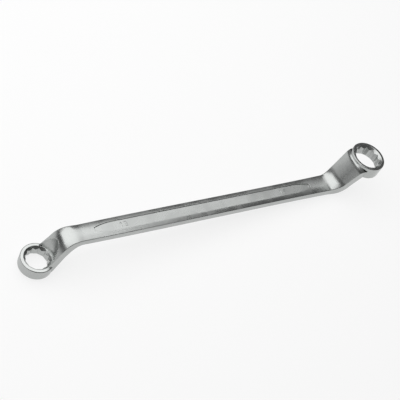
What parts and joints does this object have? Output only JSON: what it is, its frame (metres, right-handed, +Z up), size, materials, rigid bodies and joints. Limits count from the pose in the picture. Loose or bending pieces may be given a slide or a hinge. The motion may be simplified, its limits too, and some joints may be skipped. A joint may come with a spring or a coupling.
{
  "type": "ring spanner",
  "caption": "Double-ended deep-offset ring spanner for 13 mm and 16 mm fasteners: cranked necks, twelve-point rings, and a crowned shank with a recessed, size-stamped panel.",
  "frame": {"origin": "Middle of the bounding box's underside, on the bench that the spanner lies on", "axes": "+X runs along the shank towards the 16 mm ring, +Y across it, +Z up from the bench. The socket axes and the shank's broad faces are square to each other and lean together about Y, by the angle at which the tool comes to rest."},
  "size_m": [0.2646, 0.0244, 0.0288],
  "materials": {
    "satin_chrome": "satin"
  },
  "bodies": {
    "root": {"ring_spanner": "satin_chrome"}
  },
  "joints": []
}
